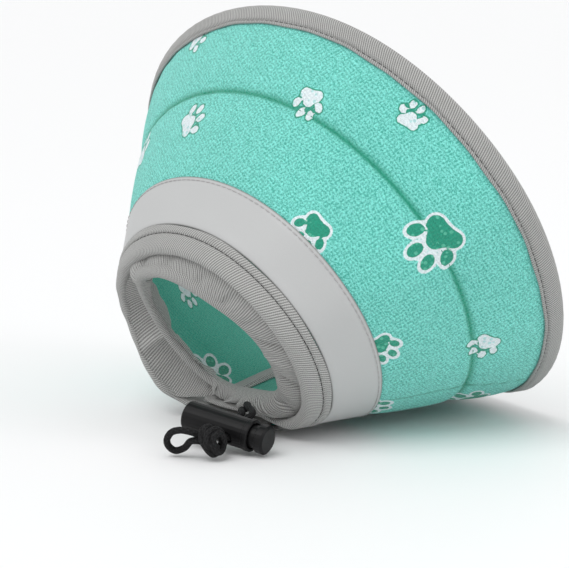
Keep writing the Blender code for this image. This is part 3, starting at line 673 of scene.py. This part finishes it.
def paw_field(slant, q, paws):
    px, py = slant * np.cos(q), slant * np.sin(q)
    dist = np.full(px.shape, 50.0)
    kind = np.zeros(px.shape)
    for cs, cq, heading, size, kd in paws:
        cx, cy = cs * cos(cq), cs * sin(cq)
        dx, dy = px - cx, py - cy
        near = np.hypot(dx, dy) < size * 2.6 + 6
        if not near.any():
            continue
        ang = cq + radians(heading)
        fx, fy = cos(ang), sin(ang)                # towards the toes
        along = dx[near] * fx + dy[near] * fy
        cross = -dx[near] * fy + dy[near] * fx
        d = paw_distance(cross / size, along / size + 0.35) * size
        cur = dist[near]
        better = d < cur
        cur[better] = d[better]
        dist[near] = cur
        kk = kind[near]
        kk[better] = kd
        kind[near] = kk
    return dist, kind


# -------------------------------------------------------------- padded panel
def make_cloth():
    nq, nl = 440, 76
    edge0, edge1 = FLAP_START, TURN + FLAP_END
    start, end = edge0 + 5.0 / 145, edge1 - 5.0 / 145
    q = np.linspace(start, end, nq)
    s0 = np.linspace(96.6, 195.0, nl)
    inset = 6.2
    away = np.minimum(np.abs(q - edge0), np.abs(q - edge1)) * (RIM_EDGE - CORNER)
    radius = CORNER - inset
    short = np.clip(CORNER - away, 0.0, radius)
    limit = np.minimum(RIM_EDGE - CORNER + np.sqrt(radius ** 2 - short ** 2), 195.0)
    s = np.where(s0[None] > QUILT, QUILT + (s0[None] - QUILT)
                 * ((limit - QUILT) / (195.0 - QUILT))[:, None], s0[None])
    shift = np.arcsin(5.0 / s) - 5.0 / 145
    near0 = np.clip(1 - (q - start) / 0.12, 0, 1)[:, None]
    near1 = np.clip(1 - (end - q) / 0.12, 0, 1)[:, None]
    qq = q[:, None] + shift * (near0 - near1)
    # puff between the seams, flat under tape and bindings
    lower = np.clip((s - 122.2) / (QUILT - 122.2), 0, 1)
    upper = np.clip((s - QUILT) / (191.5 - QUILT), 0, 1)
    puff = np.where(s < QUILT, np.sin(pi * lower) ** 0.62, np.sin(pi * upper) ** 0.62)
    puff = np.where(s < 122.2, 0.0, puff)
    edge = np.minimum(qq - edge0, edge1 - qq)
    puff = puff * smooth(edge, 0.05, 0.15)
    run = s * qq
    off = np.abs(s - QUILT)
    pucker = (np.sin(run / 1.9 + 1.4 * np.sin(run / 17.0)) * 0.6
              + np.sin(run / 3.1 + 2.0) * 0.4) * np.exp(-off / 5.0)
    rim_off = np.abs(s - 190.5)
    rim_pucker = np.sin(run / 2.6 + 1.1 * np.sin(run / 23.0)) * np.exp(-rim_off / 5.0)
    band_pucker = np.sin(run / 2.3 + 0.9 * np.sin(run / 13.0)) * np.exp(-np.abs(s - 124) / 4.0)
    wave = (0.5 * np.sin(2.1 * qq + 0.09 * s) * np.sin(run / 31.0 + 0.6)
            + 0.35 * np.sin(run / 21.0 + s / 11.0))
    groove = 0.75 * np.exp(-off / 1.1)
    outer_d = 1.5 - 1.35 * puff + groove * 0.9 + 0.16 * pucker + 0.14 * rim_pucker \
        + 0.10 * band_pucker + 0.20 * wave * puff
    inner_d = 4.7 + 1.25 * puff - groove * 0.9 - 0.16 * pucker - 0.14 * rim_pucker \
        + 0.2 * wave * puff
    outer_d = np.where(s < 123.2, np.maximum(outer_d, 1.5), outer_d)
    outer_d = np.maximum(outer_d, 0.0)
    inner_d = np.minimum(inner_d, 6.15)
    p_out = wall(s, qq, outer_d)
    p_in = wall(s, qq, inner_d)
    pts = np.concatenate([p_out, p_in[:, ::-1]], 1)
    flat = np.stack([s * np.cos(qq), s * np.sin(qq)], -1)
    uv = np.concatenate([flat, flat[:, ::-1]], 1)
    d1, k1 = paw_field(s, qq, PAWS_OUT)
    d2, k2 = paw_field(s, qq, PAWS_IN)
    line = np.exp(-(off / 0.75) ** 2)
    # painted shade: a soft darkening a few mm to both sides of the quilting seam, added to the thin
    # thread line
    painted_seam_shade = 0.38 * np.exp(-off / 2.6)
    seam_and_shade_out = np.clip(line * 0.85 + painted_seam_shade, 0, 1)
    seam_and_shade_in = seam_and_shade_out
    # the fastening strip is sewn through the wall beside the overlap
    strip = np.exp(-(np.abs(qq - 2.905 - 0.0011 * np.maximum(s - 150, 0)) * s / 0.6) ** 2)
    strip *= smooth(s, 124, 127)
    seam_and_shade_out = np.clip(seam_and_shade_out + 0.75 * strip, 0, 1)
    attrs = {"paw": np.concatenate([d1, d2[:, ::-1]], 1),
             "paw_kind": np.concatenate([k1, k2[:, ::-1]], 1),
             "seam_and_shade": np.concatenate([seam_and_shade_out, seam_and_shade_in[:, ::-1]], 1),
             "lining": np.concatenate([np.zeros(s.shape), np.ones(s.shape)], 1)}
    obj = sweep("cone_cloth", pts, uv, attrs)
    dress(obj, CLOTH, "padded_mesh", "cone", "cone_panel")
    return obj


make_cloth()


# ----------------------------------------------------------------- bindings
def wall_sweep(name, slant, q, side, section, wobble=None, floor=0.0):
    """Sweep a closed (width, depth) section along a line of the flat pattern."""
    flat = np.stack([slant * np.cos(q), slant * np.sin(q)], 1)
    run = np.concatenate([[0], np.cumsum(np.linalg.norm(np.diff(flat, axis=0), axis=1))])
    sec = np.broadcast_to(section[None], (len(q), *section.shape)).copy()
    if wobble is not None:
        sec = wobble(sec, run)
    pts = flat[:, None] + side[:, None] * sec[..., :1]
    s = np.linalg.norm(pts, axis=2)
    a = np.arctan2(pts[..., 1], pts[..., 0])
    a = a + 2 * pi * np.round((q[:, None] - a) / (2 * pi))
    p = wall(s, a, sec[..., 1], floor)
    girth = np.concatenate([[0], np.cumsum(np.linalg.norm(np.diff(section, axis=0), axis=1))])
    uv = np.stack([np.broadcast_to(run[:, None], s.shape),
                   np.broadcast_to(girth[None], s.shape)], -1)
    return sweep(name, p, uv)


def rim_line(step=1.0):
    low = NECK_LIP + 0.5
    r = CORNER
    top = RIM_EDGE - r
    q0, q1 = FLAP_START, TURN + FLAP_END
    rows = []

    def leg(edge_q, sign):
        radial = np.array([cos(edge_q), sin(edge_q)])
        cross = np.array([-sin(edge_q), cos(edge_q)]) * sign
        reach = (top ** 2 - r ** 2) ** 0.5
        out = []
        for s in np.linspace(low, reach, int((reach - low) / step)):
            out.append((s * radial, cross, edge_q))
        centre = reach * radial + cross * r
        for k in range(1, 22):
            t = k * (pi / 2) / 22
            d = -cross * cos(t) + radial * sin(t)
            out.append((centre + d * r, -d, edge_q))
        return out

    rows += leg(q0, 1.0)
    lean = np.arcsin(r / top)
    span = np.linspace(q0 + lean, q1 - lean, int((q1 - q0) * RIM_EDGE / step))
    rows += [(RIM_EDGE * np.array([cos(a), sin(a)]), -np.array([cos(a), sin(a)]), a)
             for a in span]
    rows += leg(q1, -1.0)[::-1]
    p = np.array([row[0] for row in rows])
    d = np.array([row[1] for row in rows])
    a = np.arctan2(p[:, 1], p[:, 0])
    near = np.array([row[2] for row in rows])
    a = a + 2 * pi * np.round((near - a) / (2 * pi))
    return np.linalg.norm(p, axis=1), a, d


RIM_SECTION = curve_through([
    (9.0, 0.75), (8.85, 0.25), (8.35, 0.02), (7.85, 0.3), (7.5, 1.05), (7.1, 0.6),
    (6.2, 0.1), (4.5, 0.0), (2.4, 0.12), (0.9, 0.85), (0.05, 2.2), (0.0, 3.6), (0.6, 5.0),
    (2.0, 5.9), (4.2, 6.2), (5.8, 6.1), (6.6, 5.75), (6.95, 5.3), (7.3, 5.85), (8.0, 6.15),
    (8.75, 5.95), (9.0, 5.5), (8.8, 5.1), (7.0, 5.02), (5.2, 5.0), (4.0, 4.3), (3.9, 3.1),
    (4.0, 1.9), (5.2, 1.25), (7.0, 1.2), (8.8, 1.15)], 0.55, closed=True)


def rim_wobble(sec, run):
    w = 0.12 * np.sin(run / 9.0) + 0.08 * np.sin(run / 3.7 + 1)
    lip = smooth(sec[..., 0], 6.6, 8.0)
    roll = 1 - smooth(sec[..., 0], 5.0, 6.8)
    sec[..., 0] += lip * w[:, None] * 1.6
    crease = 0.10 * np.sin(run[:, None] / 1.15 + sec[..., 0] * 0.5)
    sec[..., 1] += roll * (0.12 * np.sin(run / 17.0)[:, None] + 0.5 * crease) \
        * np.sign(3.1 - sec[..., 1])
    sec[..., 1] = np.clip(sec[..., 1], 0.0, 6.3)
    return sec


RIM_S, RIM_Q, RIM_D = rim_line(1.0)
rim = wall_sweep("rim_knit", RIM_S, RIM_Q, RIM_D, RIM_SECTION, rim_wobble)
dress(rim, KNIT, "ribbed_knit", "cone", "rim_binding")

NECK_SECTION = curve_through([
    (12.0, 0.8), (11.7, 0.3), (10.5, 0.05), (9.3, 0.1), (8.75, 0.4), (8.4, 1.05),
    (8.05, 0.6), (7.2, 0.15), (5.4, 0.0), (3.4, 0.1), (1.6, 0.6), (0.3, 1.8), (0.0, 3.0),
    (0.5, 4.2), (1.8, 5.1), (4.0, 5.4), (7.0, 5.4), (9.5, 5.45), (11.6, 5.4), (11.8, 5.2),
    (11.4, 5.05), (8.5, 5.02), (6.4, 5.0), (5.1, 4.3), (5.0, 3.1), (5.1, 1.9),
    (6.4, 1.3), (8.8, 1.25), (11.4, 1.2)], 0.55, closed=True)


def neck_wobble(sec, run):
    roll = 1 - smooth(sec[..., 0], 6.5, 8.4)
    crease = 0.16 * np.sin(run[:, None] / 2.3 + sec[..., 0] * 0.35 + 1.2 * np.sin(run / 15)[:, None])
    sec[..., 1] += roll * (0.25 * np.sin(run / 13.0 + 1)[:, None] + crease) \
        * np.sign(2.8 - sec[..., 1]) * 0.8
    sec[..., 0] += smooth(sec[..., 0], 8.6, 10) * (0.18 * np.sin(run / 5.5))[:, None]
    sec[..., 1] = np.clip(sec[..., 1], 0.0, 5.6)
    return sec


neck_q = np.linspace(FLAP_START + 0.004, TURN + FLAP_END - 0.004, 400)
neck_side = np.stack([np.cos(neck_q), np.sin(neck_q)], 1)
neck = wall_sweep("neck_knit", np.full(400, NECK_EDGE), neck_q, neck_side,
                  NECK_SECTION, neck_wobble)
dress(neck, KNIT, "ribbed_knit", "cone", "neck_binding")


# -------------------------------------------------------------- reflective tape
def make_tape():
    n, m = 420, 26
    start = FLAP_START + 9.6 / BAND_LOW
    q = np.linspace(start, TURN + FLAP_END - 9.6 / BAND_LOW, n)
    s = np.linspace(BAND_LOW, BAND_TOP, m)
    ss, qq = np.meshgrid(s, q)
    t = (ss - BAND_LOW) / (BAND_TOP - BAND_LOW)
    run = qq * 112
    lift = 0.16 * np.sin(run / 6.5 + 0.8 * np.sin(run / 19)) * smooth(t, 0.0, 0.25) \
        * (1 - smooth(t, 0.8, 1.0))
    sewn = 0.45 * np.exp(-((ss - 121.4) / 0.45) ** 2)
    edge_dip = 0.55 * (np.exp(-(t * 21 / 0.8) ** 2) + np.exp(-((1 - t) * 21 / 0.8) ** 2))
    outer = np.clip(0.28 + 0.22 + lift + 0.5 * sewn + edge_dip * 0.8, 0.0, 1.1)
    po = wall(ss, qq, outer, 0.0003)
    pi_ = wall(ss, qq, np.full_like(ss, 1.25))
    pts = np.concatenate([po, pi_[:, ::-1]], 1)
    flat = np.stack([qq * 112, ss], -1)
    uv = np.concatenate([flat, flat[:, ::-1]], 1)
    # mask for the painted shadow line along both edges of the tape
    e = smooth(np.minimum(t, 1 - t) * 21, 0.0, 0.5)
    attrs = {"edge": np.concatenate([e, np.zeros_like(e)], 1)}
    obj = sweep("reflective_tape", pts, uv, attrs)
    dress(obj, TAPE, "reflective_tape", "cone", "reflective_band")


make_tape()


# ------------------------------------------------------------- gathered casing
# soft folds: angle round the neck at the hem and at the roll, half width (deg), mm
FOLDS = [(-128, -112, 3.0, -2.6), (-118, -103, 5.0, 1.6), (-146, -143, 8.0, -1.6),
         (-166, -163, 4.0, 5.0), (178, 174, 8.0, -1.6), (150, 144, 3.0, -1.0),
         (128, 120, 4.0, -1.1), (101, 93, 4.5, -0.9), (70, 60, 4.0, -1.0), (44, 36, 3.5, -1.3),
         (24, 14, 3.0, -1.0), (8, -4, 2.6, -1.8), (-8, -14, 3.0, 0.9), (-20, -30, 2.6, -2.2),
         (-34, -40, 3.0, 0.9), (-46, -50, 2.2, -2.4), (-55, -58, 2.0, 0.8)]
# pleats drawn in by the cord: angle of each edge at the hem and at the roll
PLEATS = [(-60, -57), (-63, -67), (-67, -77), (-71, -87), (-77, -97), (-86, -106)]


def around_(deg, at):
    return (deg - at + 180.0) % 360.0 - 180.0


def make_casing():
    n = 900
    t = np.linspace(0, 1, n)
    omega = np.radians(143.0 - 371.0 * t)
    w = (omega + pi) % (2 * pi) - pi
    q = pattern_angle(w)
    _, tunnel, _, _, _, straight = casing_frame(w)
    radial = np.cos(w)[:, None] * ACROSS + np.sin(w)[:, None] * UPWARD
    deg = np.degrees(w)
    # the far side is drawn in smoothly from the roll, the near side bulges
    left = 1 - smooth(np.abs(around_(deg, 196.0)), 38.0, 58.0)
    low = 1 - smooth(np.abs(around_(deg, -80.0)), 26.0, 46.0)
    dip = np.cos(np.clip(around_(deg, -72.0) / 32.0, -1, 1) * pi / 2) ** 2
    hem = straight - (TUNNEL_R + 0.2) * radial
    slant = 93.8 - 2.4 * left
    # the tail is sewn to the inside of the neck roll
    sewn = 1.65 + 0.9 * left + 1.6 * np.exp(-(around_(deg, -125.0) / 9.0) ** 2) \
        + 1.2 * np.exp(-(around_(deg, -64.0) / 8.0) ** 2)
    root = slant[:, None] * ray(q) + (casing_depth(q) - sewn)[:, None] * inward(q)
    root = root + slack(slant, q, root[:, 2])
    out = root - hem
    length = np.linalg.norm(out, axis=1)
    out /= length[:, None]
    front = np.cross(out, np.cross(radial, AX))
    front /= np.linalg.norm(front, axis=1)[:, None]
    front *= np.sign(np.einsum("ij,j->i", front, -AX))[:, None]
    nf, nb = 46, 22
    u = 0.5 - 0.5 * np.cos(np.linspace(0, pi, nf))
    uf = u[None, :]
    D, L, B, P = deg[:, None], left[:, None], low[:, None], dip[:, None]
    tube = 3.3 * np.sin(pi * uf ** 0.8) ** 0.55 - 0.8 * smooth(uf, 0.85, 1.0)
    hollow = 0.5 + 1.3 * uf - 6.6 * np.sin(pi * uf ** 0.9) ** 0.7
    face = (3.6 + 4.4 * P) * np.sin(pi * uf ** 0.85) ** 0.6
    rise = tube * (1 - L) * (1 - B) + hollow * L + face * B * (1 - L)
    body = np.sin(pi * np.clip(uf, 0.02, 0.98)) ** 0.5
    for at0, at1, half, size in FOLDS:
        d = around_(D, at0 + (at1 - at0) * uf)
        rise = rise + size * np.exp(-(d / half) ** 2) * body
    pleat = np.zeros_like(rise)
    for (a0, a1), (b0, b1) in zip(PLEATS, PLEATS[1:]):
        left_at = a0 + (a1 - a0) * uf ** 0.8
        right_at = b0 + (b1 - b0) * uf ** 0.8
        f = (left_at - D) / (left_at - right_at)
        f = np.where((f > 0) & (f < 1), f, 0.0)
        pleat = np.maximum(pleat, f ** 0.55 * (1 - smooth(f, 0.84, 1.0)))
    inside = ((D < PLEATS[0][0]) & (D > -110)).astype(float)
    rise = rise + (2.6 * pleat - 1.5 * inside) * body * smooth(uf, 0.0, 0.18)
    rise = rise + 0.10 * np.sin(1.9 * D + 3.0 * uf + 2.2 * np.sin(D / 11.0)) * body
    # the strip's own ends lap at the upper left
    lap = 1.7 * (1 - smooth(t, 0.0, 0.07)) - 1.2 * smooth(t, 0.93, 0.985)
    rise = rise + lap[:, None]
    ub = u[::-1][::2][None, :]
    thick = 2.8 * np.sin(pi * np.clip(ub, 0.0, 1.0)) ** 0.5
    front_at_b = rise[:, ::-1][:, ::2]
    blend = smooth(left, 0.25, 0.75)[:, None]
    back = blend * (front_at_b - 1.5 * np.sin(pi * ub) ** 0.4) + (1 - blend) * (
        -thick + lap[:, None])
    back = np.minimum(back, front_at_b - 0.25)
    # the hem stays closed round the cord that runs in it
    cord_a = np.einsum("ij,ij->i", tunnel - hem, out)[:, None]
    cord_b = np.einsum("ij,ij->i", tunnel - hem, front)[:, None]
    hug = 2.9 - 0.5 * L
    over = np.sqrt(np.clip(1 - ((uf * length[:, None] - cord_a) / hug) ** 2, 0, 1))
    rise = np.where(over > 0, np.maximum(rise, cord_b + 2.2 * over), rise)
    under = np.sqrt(np.clip(1 - ((ub * length[:, None] - cord_a) / 2.9) ** 2, 0, 1))
    back = np.where(under > 0, np.minimum(back, cord_b - 2.2 * under), back)
    along = np.concatenate([np.broadcast_to(uf, rise.shape),
                            np.broadcast_to(ub[:, 1:-1], (n, ub.shape[1] - 2))], 1)
    high = np.concatenate([rise, back[:, 1:-1]], 1)
    a = along * length[:, None]
    b = high
    # both ends of the strip are rounded off
    end = np.minimum(t / 0.016, (1 - t) / 0.010)
    close = np.sqrt(np.clip(1 - (1 - np.clip(end, 0, 1)) ** 2, 0.004, 1.0))
    mid_a = 0.5 * length[:, None]
    mid_b = b.mean(1, keepdims=True)
    a = mid_a + (a - mid_a) * close[:, None]
    b = mid_b + (b - mid_b) * close[:, None]
    p = (hem[:, None] + out[:, None] * a[..., None] + front[:, None] * b[..., None]) * MM
    run = np.concatenate([[0], np.cumsum(np.linalg.norm(np.diff(hem + out * 5, axis=0),
                                                        axis=1))])
    uv = np.stack([np.broadcast_to(run[:, None] * 1.2, a.shape), a], -1)
    obj = sweep("casing_knit", settle(p), uv)
    dress(obj, KNIT_CASING, "casing_knit", "cone", "drawstring_casing")


make_casing()


# ------------------------------------------------------------------- stitches
def stitches(name, points, normals, length, pitch, radius, material, slot, lift=0.0):
    """One joined mesh of short threads laid along a line."""
    p, nrm = np.asarray(points, float), np.asarray(normals, float)
    run = np.concatenate([[0], np.cumsum(np.linalg.norm(np.diff(p, axis=0), axis=1))])
    count = int(run[-1] / pitch)
    rows, sides = 5, 6
    ang = np.linspace(0, 2 * pi, sides, endpoint=False)
    verts, faces = [], []
    for c in range(count):
        mid = (c + 0.5) * pitch
        at = np.linspace(mid - length / 2, mid + length / 2, rows)
        line = np.stack([np.interp(at, run, p[:, k]) for k in range(3)], 1)
        nn = np.stack([np.interp(at, run, nrm[:, k]) for k in range(3)], 1)
        nn /= np.linalg.norm(nn, axis=1)[:, None]
        tg = np.gradient(line, axis=0)
        tg /= np.linalg.norm(tg, axis=1)[:, None]
        bn = np.cross(tg, nn)
        t = np.linspace(-1, 1, rows)
        sag = (1 - t ** 2) * radius * 0.9 + lift
        r = radius * np.sqrt(np.clip(1 - (0.86 * t) ** 4, 0.05, 1))
        base = len(verts)
        for k in range(rows):
            for g in ang:
                verts.append(line[k] + nn[k] * (sag[k] + r[k] * sin(g)) + bn[k] * r[k] * cos(g))
        for k in range(rows - 1):
            for j in range(sides):
                j2 = (j + 1) % sides
                faces.append([base + k * sides + j, base + k * sides + j2,
                              base + (k + 1) * sides + j2, base + (k + 1) * sides + j])
        faces.append([base + j for j in range(sides)][::-1])
        faces.append([base + (rows - 1) * sides + j for j in range(sides)])
    obj = make_object(name, verts, faces)
    dress(obj, material, slot, "cone")
    return obj


def seam_line(name, slant, depth, q0, q1, out, *args, **kw):
    q = np.linspace(q0, q1, 900)
    p = wall(np.full(900, slant), q, np.full(900, depth))
    n = inward(q) * (-1 if out else 1)
    return stitches(name, p, n, *args, **kw)


Q0, Q1 = FLAP_START, TURN + FLAP_END
seam_line("quilt_stitches_out", QUILT, 2.05, Q0 + 0.06, Q1 - 0.06, True,
          2.7 * MM, 3.3 * MM, 0.22 * MM, THREAD_GREEN, "padded_mesh")
seam_line("quilt_stitches_in", QUILT, 4.15, Q0 + 0.06, Q1 - 0.06, False,
          2.7 * MM, 3.3 * MM, 0.22 * MM, THREAD_GREEN, "padded_mesh")
seam_line("tape_stitches", 121.4, 0.55, Q0 + 0.10, Q1 - 0.10, True,
          2.3 * MM, 3.0 * MM, 0.16 * MM, THREAD_GREY, "reflective_tape")
seam_line("neck_stitches", NECK_EDGE + 8.4, 0.95, Q0 + 0.01, Q1 - 0.01, True,
          2.4 * MM, 2.8 * MM, 0.17 * MM, THREAD_DARK, "ribbed_knit")


def rim_stitches(name, width, depth, sign):
    flat = np.stack([RIM_S * np.cos(RIM_Q), RIM_S * np.sin(RIM_Q)], 1) + RIM_D * width
    s = np.linalg.norm(flat, axis=1)
    a = np.arctan2(flat[:, 1], flat[:, 0])
    a = a + 2 * pi * np.round((RIM_Q - a) / (2 * pi))
    stitches(name, wall(s, a, np.full(len(s), depth)), inward(a) * sign,
             2.3 * MM, 2.8 * MM, 0.16 * MM, THREAD_DARK, "ribbed_knit")


rim_stitches("rim_stitches_out", 7.5, 1.0, -1)
rim_stitches("rim_stitches_in", 6.95, 5.35, 1)

# --------------------------------------------------- CAD nodes that stay
for node, material in (("lock_barrel", PLASTIC), ("lock_button", PLASTIC),
                       ("drawcord_ring", BRAID), ("closure_strip", THREAD_GREY)):
    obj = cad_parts[node]
    for slot in obj.material_slots:
        slot.material = material


# ------------------------------------------------------- floor and lights
def add_stage():
    g = Nodes("floor_white", (0.86, 0.865, 0.87), 0.6)
    size = 6.0
    obj = make_object("floor", [(-size, -size, -0.0004), (size, -size, -0.0004),
                                (size, size, -0.0004), (-size, size, -0.0004)], [[0, 1, 2, 3]])
    obj.data.materials.append(g.mat)
    world = bpy.data.worlds.new("studio")
    world.use_nodes = True
    world.node_tree.nodes["Background"].inputs[0].default_value = (1.0, 1.0, 1.0, 1)
    world.node_tree.nodes["Background"].inputs[1].default_value = 0.78
    bpy.context.scene.world = world

    def lamp(kind, name, where, power, spread):
        data = bpy.data.lights.new(name, kind)
        data.energy = power
        if kind == "SUN":
            data.angle = spread
        else:
            data.shape, data.size = "DISK", spread
        o = bpy.data.objects.new(name, data)
        o.location = where
        o.rotation_euler = (Vector((0, 0, 0.07)) - Vector(where)).to_track_quat(
            "-Z", "Y").to_euler()
        bpy.context.scene.collection.objects.link(o)

    lamp("SUN", "key", (0.10, -0.75, 1.35), 1.35, radians(40))
    lamp("AREA", "side", (1.3, 0.35, 0.75), 3.0, 0.8)


add_stage()
